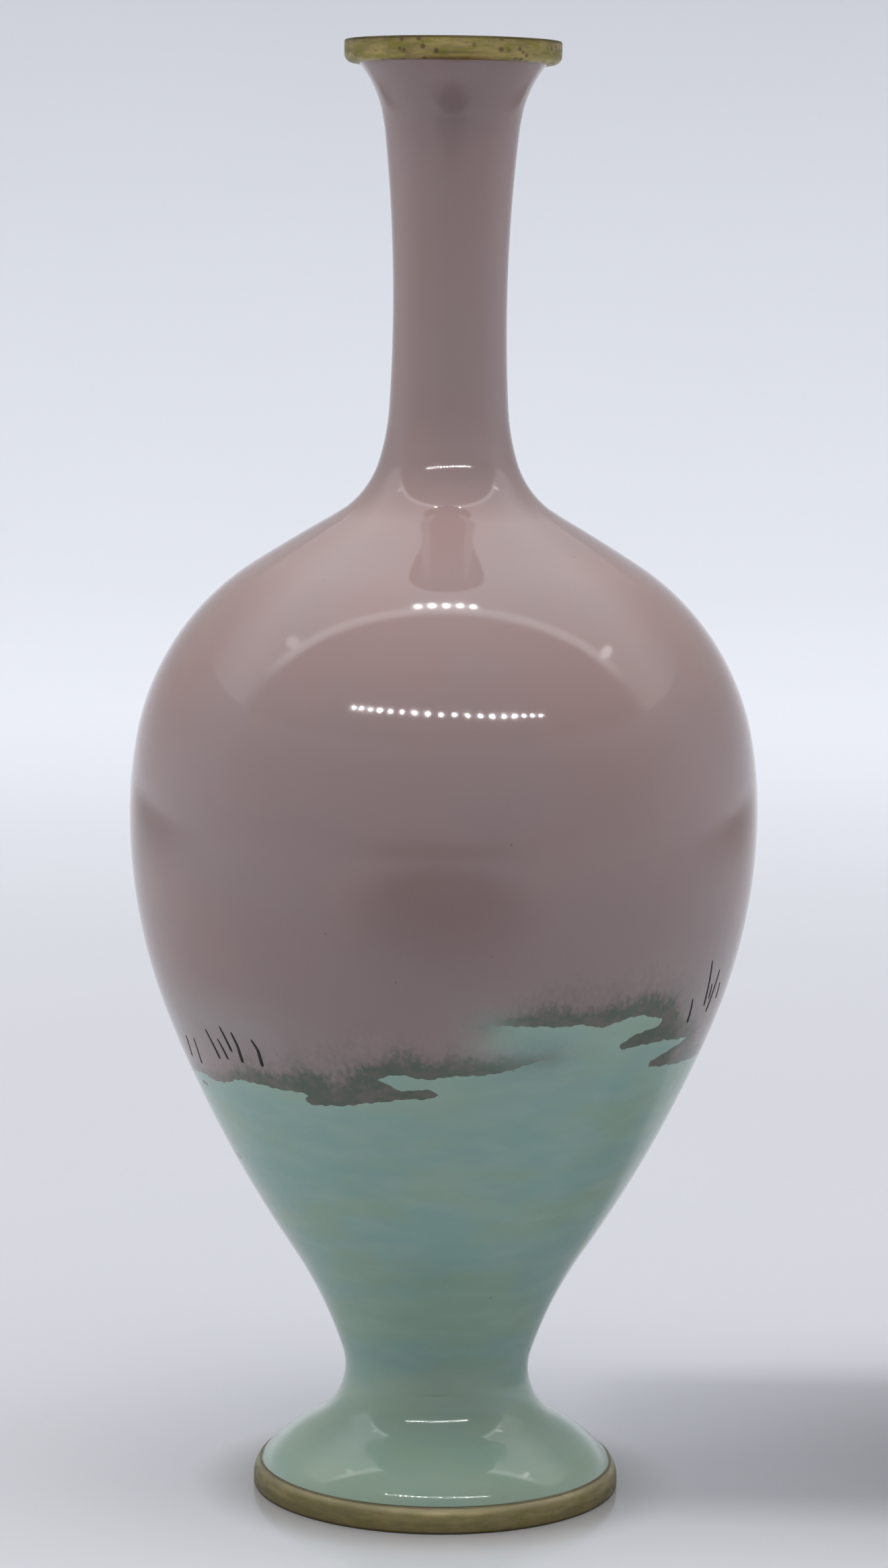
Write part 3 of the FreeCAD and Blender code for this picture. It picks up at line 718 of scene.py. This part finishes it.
def brass(name):
    """Old brass: streaks, olive tarnish and grime, with pits on the mouth band only, a painted
    highlight on the foot band's bead, painted shade along its bottom edge and a darker top edge on
    the mouth band.
    """
    nodes = Nodes(name)
    height = nodes.position("Z")
    at_foot = nodes.range(height, 0.01, 0.02, 1.0, 0.0)
    long_noise = nodes.noise(5.0, squash=(1, 1, 5.0), detail=4, rough=0.6)
    streaks = nodes.range(long_noise, 0.36, 0.66)
    tone = nodes.mix(streaks, (0.375, 0.300, 0.115), (0.255, 0.205, 0.095))
    olive_noise = nodes.noise(3.4, squash=(1, 1, 2.4), detail=3, shift=0.8)
    olive = nodes.range(olive_noise, 0.46, 0.66, 0.0, 0.75)
    tone = nodes.mix(olive, tone, (0.225, 0.210, 0.048))
    grime_noise = nodes.noise(1.0, squash=(1, 1, 1.6), detail=4, rough=0.65, shift=0.4)
    grime = nodes.range(grime_noise, 0.60, 0.72)
    tone = nodes.mix(nodes.times(grime, 0.6), tone, (0.085, 0.060, 0.025))

    where = nodes.range(nodes.noise(6, detail=1, shift=0.2), 0.42, 0.52)
    where = nodes.times(where, nodes.math("SUBTRACT", 1.0, at_foot))
    pits = nodes.times(nodes.specks(1.5, 0.6, shift=0.5), where)
    tone = nodes.mix(nodes.times(pits, 0.85), tone, (0.075, 0.038, 0.014))

    tone = nodes.mix(nodes.times(at_foot, 0.6), tone, (0.190, 0.165, 0.090))
    # Painted highlight: the top of the foot band, where its bead is, is lightened to stand for the
    # light it catches.
    painted_bead_highlight = nodes.times(nodes.range(height, 0.0030, 0.0038, 0.0, 0.45), at_foot)
    tone = nodes.mix(painted_bead_highlight, tone, (0.46, 0.41, 0.27))
    dark_seam = nodes.times(nodes.range(height, 0.0040, 0.0044, 0.0, 0.7), at_foot)
    tone = nodes.mix(dark_seam, tone, (0.07, 0.06, 0.04))
    # The mouth band's top edge is darker; the darkening along the foot band's bottom edge, where it
    # sits on the floor, is painted shade.
    top_edge = nodes.range(height, HEIGHT - 0.0006, HEIGHT - 0.0002)
    low_edge = nodes.range(height, 0.0002, 0.0006, 1.0, 0.0)
    dark_top_and_shaded_low_edges = nodes.times(nodes.math("MAXIMUM", top_edge, low_edge), 0.8)
    nodes.set(Base_Color=nodes.mix(dark_top_and_shaded_low_edges, tone, (0.07, 0.055, 0.03)))

    rough_spots = nodes.math("MAXIMUM", pits, grime)
    nodes.set(Metallic=nodes.math("SUBTRACT", 1.0, nodes.times(rough_spots, 0.6)))
    nodes.set(Roughness=nodes.range(streaks, 0.0, 1.0, 0.40, 0.52))
    filed = nodes.noise(0.5, squash=(0.25, 0.25, 3.0), detail=2)
    relief = nodes.math("SUBTRACT", nodes.times(filed, 0.22), rough_spots)
    nodes.bump(relief, 0.45, 0.07)
    return nodes.material


def bare_metal(name, fresh, worn, rough):
    """Spun copper or silver solder, unseen between the layers of glass."""
    nodes = Nodes(name)
    stain = nodes.range(nodes.noise(7, detail=4), 0.35, 0.65)
    nodes.set(Base_Color=nodes.mix(stain, fresh, worn), Metallic=1.0)
    turned = nodes.noise(3, squash=(1, 1, 6))
    nodes.set(Roughness=nodes.range(turned, 0.3, 0.7, rough, rough + 0.15))
    nodes.bump(nodes.noise(1.2, squash=(1, 1, 5)), 0.2, 0.1)
    return nodes.material


def lining_glass(name):
    """Thin blue-green glass inside the vase and under its base."""
    nodes = Nodes(name)
    mottle = nodes.range(nodes.noise(4, detail=4, rough=0.6), 0.35, 0.65)
    tone = nodes.mix(mottle, (0.060, 0.120, 0.135), (0.095, 0.165, 0.170))
    tone = nodes.mix(nodes.specks(3.0, 0.35), tone, (0.02, 0.03, 0.035))
    nodes.set(Base_Color=tone, Roughness=nodes.range(mottle, 0, 1, 0.18, 0.30))
    nodes.bump(nodes.noise(2.5, detail=3), 0.25, 0.15)
    return nodes.material


def reed_metal(name):
    """Blackened wire, dull enough to stay dark in the polished glass."""
    nodes = Nodes(name)
    tarnish = nodes.range(nodes.noise(1.0, detail=3), 0.3, 0.7)
    nodes.set(Base_Color=nodes.mix(tarnish, (0.006, 0.006, 0.006), (0.022, 0.018, 0.015)))
    nodes.set(Roughness=nodes.range(tarnish, 0, 1, 0.45, 0.6), Specular_IOR_Level=0.2)
    return nodes.material


# ---------------- brass bands and reeds


def lathe(name, profile, wobble, node, material, seed):
    """A closed ring turned from a section of (radius, height), slightly uneven."""
    columns = 360
    angles = np.radians(np.arange(columns))
    chance = np.random.default_rng(seed)
    uneven = np.zeros(columns)
    for waves in (3, 5, 8, 13, 21, 34):
        uneven += np.sin(waves * angles + chance.uniform(0, 2 * math.pi)) / waves**0.5
    uneven *= wobble / 2
    points = []
    for radius, height, share in profile:
        ring = radius + share * uneven
        level = np.full(columns, height)
        points.append(np.stack([ring * np.sin(angles), -ring * np.cos(angles), level], axis=1))
    points = np.vstack(points) * MM
    count = len(profile)
    faces = []
    for row in range(count):
        low, high = row * columns, (row + 1) % count * columns
        for column in range(columns):
            after = (column + 1) % columns
            faces.append([low + column, low + after, high + after, high + column])
    mesh = bpy.data.meshes.new(name)
    mesh.from_pydata(points.tolist(), [], faces)
    mesh.polygons.foreach_set("use_smooth", [True] * len(faces))
    mesh.set_sharp_from_angle(angle=math.radians(40))
    mesh.materials.append(material)
    piece = bpy.data.objects.new(name, mesh)
    bpy.context.scene.collection.objects.link(piece)
    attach(piece, "root")
    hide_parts(node)
    return piece


def arc(centre, radius, start, end, share, steps=8):
    """Section points (radius, height, share of the unevenness) along an arc."""
    turns = np.radians(np.linspace(start, end, steps))
    x, y = centre
    return [(x + radius * math.cos(t), y + radius * math.sin(t), share) for t in turns]


def outline_end(end, depth):
    """The end of the outline inside the foot band (0) or the mouth band (-1), at a depth."""
    radius, height, lean = OUTLINE[end]
    lean = math.radians(lean)
    return radius - depth * math.cos(lean), height - depth * math.sin(lean)


def foot_band_section():
    """Section of the foot band: a round low edge, a full side and a bead by the glass."""
    outer = FOOT_HIGH.x / MM
    high = FOOT_HIGH.z / MM
    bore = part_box("base_plate")[1].x / MM
    top = float(radius_at(GLASS_FOOT))
    edge, bead = 0.3, 0.24
    straight = 1.6
    shelf = 0.15
    inset, rise = outer - top, high - straight
    bend = (inset**2 + rise**2) / (2 * inset)
    glass_end, copper_end = outline_end(0, GLASS), outline_end(0, GLASS + COPPER)
    section = arc((bore + edge, edge), edge, 180, 270, 0.0)
    section += arc((outer - edge, edge), edge, -90, 0, 1.0)
    section += arc((outer - bend, straight), bend, 0, 34, 1.0, 12)
    section += arc((top + 0.06, high - bead), bead, -20, 120, 0.5, 10)
    section += [(top - 0.2, high - shelf, 0.0), (top - GLASS, high - shelf, 0.0)]
    section += [(*glass_end, 0.0), (*copper_end, 0.0), (bore, copper_end[1] + 0.3, 0.0)]
    return section


def mouth_band_section():
    """Section of the mouth band: square above, rounded below, grooved for the lip."""
    outer = MOUTH_HIGH.x / MM
    high, low = MOUTH_HIGH.z / MM, MOUTH_LOW.z / MM
    bore = 12.8
    edge, under = 0.3, 1.5
    glass_end, copper_end = outline_end(-1, GLASS), outline_end(-1, GLASS + COPPER)
    section = [(bore, low, 0.0), (bore, high - edge, 0.0)]
    section += arc((bore + edge, high - edge), edge, 180, 90, 0.0)
    section += arc((outer - edge, high - edge), edge, 90, 0, 1.0)
    section += arc((outer - under, low + under), under, 0, -90, 1.0, 12)
    section += [(float(radius_at(low)) - GLASS, low, 0.0), (*glass_end, 0.0), (*copper_end, 0.0)]
    section += [(copper_end[0] - 0.9, low, 0.0)]
    return section[::-1]


# A wire's section, from side to side: share of half the width, and depth in the glass.
WIRE_SECTION = (
    (-1, -0.03), (-0.5, -0.06), (0.5, -0.06), (1, -0.03), (1, GLASS), (-1, GLASS),
)
WIRE_STATIONS = 14
WIRE_BOW = 0.12
WIRE_SWELL = 1.3


def reed_widths(share, tip_width, foot_width):
    """Width along a wire, which swells early and is drawn in at both ends."""
    width = WIRE_SWELL * (tip_width + (foot_width - tip_width) * share**0.7)
    width[0] *= 0.45
    width[-1] *= 0.6
    return width


def reed_group(name, reeds, node, material):
    """Tapered wires as deep as the glass, polished nearly flush with it."""
    points, faces = [], []
    around = len(WIRE_SECTION)
    for spine, tip_width, foot_width in reeds:
        spine = np.array(spine, float)
        along = np.linspace(0, len(spine) - 1, WIRE_STATIONS)
        bearing = np.interp(along, range(len(spine)), spine[:, 0])
        height = np.interp(along, range(len(spine)), spine[:, 1])
        share = along / along[-1]
        bearing = bearing + WIRE_BOW * np.sin(math.pi * share)
        width = reed_widths(share, tip_width, foot_width)
        half = width / 2 / np.radians(1) / radius_at(height)
        start = len(points)
        for index in range(WIRE_STATIONS):
            for side, depth in WIRE_SECTION:
                spot, _ = on_vase(bearing[index] + side * half[index], height[index], depth)
                points.append(spot)
        for index in range(WIRE_STATIONS - 1):
            low, high = start + index * around, start + (index + 1) * around
            for side in range(around):
                after = (side + 1) % around
                faces.append([high + side, high + after, low + after, low + side])
        last = start + (WIRE_STATIONS - 1) * around
        faces.append([start + side for side in range(around)])
        faces.append([last + side for side in reversed(range(around))])
    mesh = bpy.data.meshes.new(name)
    mesh.from_pydata([tuple(point) for point in points], [], faces)
    mesh.materials.append(material)
    piece = bpy.data.objects.new(name, mesh)
    bpy.context.scene.collection.objects.link(piece)
    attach(piece, "root")
    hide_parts(node)
    return piece


# ---------------- build the vase


def build_glass():
    """Cut the whole skin of glass into banks, islets, water and sky."""
    rows = glass_rows()
    vertices, cells = glass_cells(rows)
    banks = {}
    rest = cells
    for bank, outline in BANK_OUTLINES.items():
        vertices, banks[bank], rest = split_cells(vertices, rest, depth_in(outline, vertices))
    islets = []
    for islet in ISLETS:
        vertices, inside, rest = split_cells(vertices, rest, depth_in_islet(islet, vertices))
        islets += inside
    water = [cell for cell in rest if np.mean([vertices[v][1] for v in cell]) < HORIZON]
    sky = [cell for cell in rest if np.mean([vertices[v][1] for v in cell]) >= HORIZON]
    sky_paint = painted_glass("sky_glass")
    shell("sky_glass", vertices, sky, False, "sky_enamel", sky_paint)
    water_paint = painted_glass("water_glass")
    shell("water_glass", vertices, water, True, "water_enamel", water_paint)
    land = painted_glass("land_glass")
    for bank, inside in banks.items():
        shell(f"{bank}_glass", vertices, inside, False, f"{bank}_enamel", land)
    piece = shell("islets_glass", vertices, islets, False, "islets_enamel", land)
    for key, value in (("rise", 0.5), ("grass", 0.75), ("mist", 0.0)):
        layer = piece.data.attributes[key]
        layer.data.foreach_set("value", [value] * len(layer.data))


def build_metal():
    """The bands, the reeds, and materials for the copper, solder and inner glass."""
    metal = brass("brass")
    lathe("foot_band", foot_band_section(), 0.05, "foot_rim", metal, seed=5)
    lathe("mouth_band", mouth_band_section(), 0.06, "mouth_rim", metal, seed=6)
    wire = reed_metal("reed_wire")
    reed_group("left_reed_wires", LEFT_REEDS, "left_reeds", wire)
    reed_group("right_reed_wires", RIGHT_REEDS, "right_reeds", wire)
    reed_group("back_reed_wires", BACK_REEDS, "back_reeds", wire)
    copper = bare_metal("copper", (0.62, 0.27, 0.16), (0.30, 0.13, 0.08), 0.3)
    solder = bare_metal("silver_solder", (0.62, 0.62, 0.58), (0.34, 0.33, 0.30), 0.25)
    lining = lining_glass("inner_glass")
    carried = {
        "neck_core": copper, "shoulder_core": copper, "body_core": copper, "foot_core": copper,
        "base_plate": copper, "neck_solder": solder, "belly_solder": solder,
        "stem_solder": solder, "base_solder": solder, "inner_enamel": lining, "base_enamel": lining,
    }
    for node, material in carried.items():
        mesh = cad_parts[node].data
        mesh.materials.clear()
        mesh.materials.append(material)


# ---------------- camera, room and light


def place_camera():
    """A long lens in front of the vase, a little above its middle and looking down."""
    camera = bpy.data.objects.new("camera", bpy.data.cameras.new("camera"))
    bpy.context.scene.collection.objects.link(camera)
    distance, high = 2.85 * HEIGHT, 0.855 * HEIGHT
    pitch, roll = math.radians(7.21), math.radians(0.725)
    camera.matrix_world = (
        Matrix.Translation((0, -distance, high))
        @ Matrix.Rotation(math.radians(90) - pitch, 4, "X")
        @ Matrix.Rotation(roll, 4, "Z")
    )
    camera.data.lens = 95.59
    camera.data.sensor_width = 36
    bpy.context.scene.camera = camera


def stage_object(name, points, faces, material):
    mesh = bpy.data.meshes.new(name)
    mesh.from_pydata(points, [], faces)
    mesh.polygons.foreach_set("use_smooth", [True] * len(faces))
    mesh.materials.append(material)
    item = bpy.data.objects.new(name, mesh)
    bpy.context.scene.collection.objects.link(item)
    return item


def distance_to(nodes, x, y):
    """How far a place on the floor is from a point, in metres."""
    across = nodes.math("POWER", nodes.math("SUBTRACT", nodes.position("X"), x), 2.0)
    along = nodes.math("POWER", nodes.math("SUBTRACT", nodes.position("Y"), y), 2.0)
    return nodes.math("SQRT", nodes.math("ADD", across, along))


def pale_paper():
    """Bluish white paper that glows away from the vase, with a painted shadow beside the foot, and
    painted dark contact shadow, shade and brass reflection where the foot stands.
    """
    nodes = Nodes("pale_paper")
    away = distance_to(nodes, 0.0, 0.0)
    paper = nodes.mix(nodes.noise(180, detail=2), (0.435, 0.435, 0.46), (0.465, 0.465, 0.485))
    shadow = nodes.range(distance_to(nodes, 0.105, 0.018), 0.0, 0.10, 0.65, 0.0)
    paper = nodes.mix(shadow, paper, (0.10, 0.10, 0.11))
    # Painted shade and a painted brown reflection of the brass band on the floor around the foot.
    painted_shade_and_brass_reflection = nodes.range(away, 0.029, 0.044, 0.5, 0.0)
    paper = nodes.mix(painted_shade_and_brass_reflection, paper, (0.11, 0.085, 0.055))
    # Painted contact shadow: near-black paper right at the edge of the foot.
    painted_contact_shadow = nodes.range(away, 0.0288, 0.0315, 1.0, 0.0)
    paper = nodes.mix(painted_contact_shadow, paper, (0.012, 0.008, 0.005))
    nodes.set(Base_Color=paper, Roughness=nodes.range(away, 0.12, 0.6, 0.14, 0.9))
    far_glow = nodes.range(away, 0.08, 1.3, 0.04, 0.48)
    high_fall = nodes.range(nodes.position("Z"), 0.0, 0.8, 1.1, 0.6)
    behind = nodes.range(nodes.position("Y"), -1.3, 0.3, 0.36, 1.0)
    glow = nodes.times(nodes.times(far_glow, high_fall), behind)
    nodes.set(Emission_Color=(0.895, 0.935, 1.01, 1), Emission_Strength=glow)
    return nodes.material


def build_cove():
    """A round pale floor that sweeps up into a glowing wall on all sides."""
    flat, sweep, wall = 1.7, 0.8, 1.3
    section = [(radius, 0.0) for radius in (0.0001, 0.1, 0.3, 0.8, flat)]
    for step in range(1, 13):
        turn = math.radians(90 * step / 12)
        section.append((flat + sweep * math.sin(turn), sweep * (1 - math.cos(turn))))
    section.append((flat + sweep, wall))
    columns = 96
    points, faces = [], []
    for radius, height in section:
        for column in range(columns):
            turn = 2 * math.pi * column / columns
            points.append((radius * math.sin(turn), -radius * math.cos(turn), height))
    for row in range(len(section) - 1):
        for column in range(columns):
            after = (column + 1) % columns
            low, high = row * columns, (row + 1) * columns
            faces.append([low + column, low + after, high + after, high + column])
    return stage_object("cove", points, faces, pale_paper())


def soft_box(name, place, aim, width, height, power):
    """A soft light that isn't seen itself, neither directly nor in the glass."""
    data = bpy.data.lights.new(name, "AREA")
    data.shape = "RECTANGLE"
    data.size, data.size_y = width, height
    data.energy = power
    item = bpy.data.objects.new(name, data)
    item.location = place
    item.rotation_euler = (Vector(aim) - Vector(place)).to_track_quat("-Z", "Y").to_euler()
    item.visible_camera = False
    item.visible_glossy = False
    bpy.context.scene.collection.objects.link(item)


def lamp_row(name, count, start, end, bow, size, power):
    """A bowed row of small bare lamps, which shows as dots on the glass."""
    start, end = Vector(start), Vector(end)
    for number in range(count):
        data = bpy.data.lights.new(f"{name}_{number}", "POINT")
        data.shadow_soft_size = size
        data.energy = power
        item = bpy.data.objects.new(f"{name}_{number}", data)
        share = number / (count - 1)
        item.location = start.lerp(end, share) - Vector((0, 0, bow * 4 * share * (1 - share)))
        item.visible_camera = False
        item.visible_diffuse = False
        bpy.context.scene.collection.objects.link(item)


def card(name, place, aim, width, height, brightness, solid=0.45):
    """A soft-edged oval that only shows in reflections, bright or dark."""
    material = bpy.data.materials.new(name)
    material.use_nodes = True
    tree = material.node_tree
    tree.nodes.clear()
    coordinates = tree.nodes.new("ShaderNodeTexCoord")
    length = tree.nodes.new("ShaderNodeVectorMath")
    length.operation = "LENGTH"
    tree.links.new(coordinates.outputs["Object"], length.inputs[0])
    fade = tree.nodes.new("ShaderNodeMapRange")
    fade.interpolation_type = "SMOOTHSTEP"
    for socket, number in zip(fade.inputs[1:5], (solid, 1.0, 1.0, 0.0)):
        socket.default_value = number
    tree.links.new(length.outputs["Value"], fade.inputs[0])
    clear = tree.nodes.new("ShaderNodeBsdfTransparent")
    glow = tree.nodes.new("ShaderNodeEmission")
    glow.inputs["Strength"].default_value = brightness
    mixed = tree.nodes.new("ShaderNodeMixShader")
    tree.links.new(fade.outputs[0], mixed.inputs[0])
    tree.links.new(clear.outputs[0], mixed.inputs[1])
    tree.links.new(glow.outputs[0], mixed.inputs[2])
    output = tree.nodes.new("ShaderNodeOutputMaterial")
    tree.links.new(mixed.outputs[0], output.inputs["Surface"])
    corners = [(-1, -1, 0), (1, -1, 0), (1, 1, 0), (-1, 1, 0)]
    item = stage_object(name, corners, [[0, 1, 2, 3]], material)
    item.location = place
    item.rotation_euler = (Vector(aim) - Vector(place)).to_track_quat("-Z", "Y").to_euler()
    item.scale = (width / 2, height / 2, 1)
    item.visible_camera = False
    item.visible_diffuse = False
    item.visible_shadow = False
    item.visible_transmission = False


def flat_card(name, x, y, width, length, brightness, solid):
    """A card that lies just above the floor."""
    card(name, (x, y, 0.004), (x, y, -1), width, length, brightness, solid)


def flag(place, width, depth):
    """A card out of sight that only shades the floor beside the foot."""
    nodes = Nodes("flag")
    corners = [(-0.5, -0.5), (0.5, -0.5), (0.5, 0.5), (-0.5, 0.5)]
    points = [(place[0] + x * width, place[1] + y * depth, place[2]) for x, y in corners]
    item = stage_object("flag", points, [[0, 1, 2, 3]], nodes.material)
    item.visible_camera = False
    item.visible_glossy = False
    item.visible_diffuse = False


def room_sky():
    """A tent of pale cloth: bright behind the vase, dimmer in front, with a lit seam."""
    world = bpy.data.worlds.new("room")
    bpy.context.scene.world = world
    world.use_nodes = True
    tree = world.node_tree
    direction = tree.nodes.new("ShaderNodeTexCoord").outputs["Generated"]
    apart = tree.nodes.new("ShaderNodeSeparateXYZ")
    tree.links.new(direction, apart.inputs[0])

    def ranged(value, low, high, to_low, to_high):
        node = tree.nodes.new("ShaderNodeMapRange")
        node.interpolation_type = "SMOOTHSTEP"
        tree.links.new(value, node.inputs[0])
        for socket, number in zip(node.inputs[1:5], (low, high, to_low, to_high)):
            socket.default_value = number
        return node.outputs[0]

    def maths(operation, one, other):
        node = tree.nodes.new("ShaderNodeMath")
        node.operation = operation
        for socket, value in zip(node.inputs, (one, other)):
            if isinstance(value, bpy.types.NodeSocket):
                tree.links.new(value, socket)
            else:
                socket.default_value = value
        return node.outputs[0]

    cloth = ranged(apart.outputs["Y"], -0.10, 0.06, 0.30, 1.25)
    seam = ranged(maths("ABSOLUTE", apart.outputs["Y"], 0.0), 0.015, 0.06, 1.6, 0.0)
    seam = maths("MULTIPLY", seam, ranged(apart.outputs["Z"], 0.55, 0.75, 0.0, 1.0))
    back = tree.nodes["Background"]
    back.inputs["Color"].default_value = (0.96, 0.97, 1.0, 1)
    tree.links.new(maths("ADD", cloth, seam), back.inputs["Strength"])


def light_room():
    """Soft boxes for the light itself; lamps, cards and screens for what the glass mirrors."""
    room_sky()
    soft_box("main_box", (0, -0.16, 0.80), (0, 0, 0.12), 0.8, 0.4, 5.6)
    soft_box("left_box", (-0.80, -0.05, 0.42), (0, 0, 0.10), 0.25, 0.3, 1.3)
    soft_box("right_box", (0.9, -0.1, 0.65), (0, 0, 0.12), 0.3, 0.5, 0.9)
    lamp_row("front_lamp", 18, (-0.44, -0.55, 0.655), (0.46, -0.55, 0.615), 0.095, 0.0038, 0.32)
    lamp_row("top_lamp", 5, (-0.10, 0.0, 0.95), (0.10, 0.0, 0.95), 0.0, 0.0065, 0.6)
    card("left_blob", (-0.75, 0.05, 0.98), (0, 0, 0.15), 0.20, 0.10, 3.0)
    card("right_blob", (0.80, 0.05, 0.95), (0, 0, 0.15), 0.22, 0.08, 5.0)
    flag((0.115, 0.02, 0.035), 0.15, 0.085)
    flat_card("dark_front", 0, -1.02, 1.3, 1.1, 0.27, 0.45)
    flat_card("dark_near", 0, -0.42, 0.55, 0.60, 0.06, 0.35)
    for side in (-1, 1):
        card(f"screen_{side + 1}", (side, 1.15, 0.75), (0, 0, 0.3), 2.6, 1.9, 0.37, 0.15)
        flat_card(f"floor_card_{side + 1}", side * 0.7, 0.6, 0.9, 1.3, 0.34, 0.05)


place_camera()
build_glass()
build_metal()
build_cove()
light_room()
scene = bpy.context.scene
scene.view_settings.view_transform = "Standard"
scene.cycles.use_denoising = True
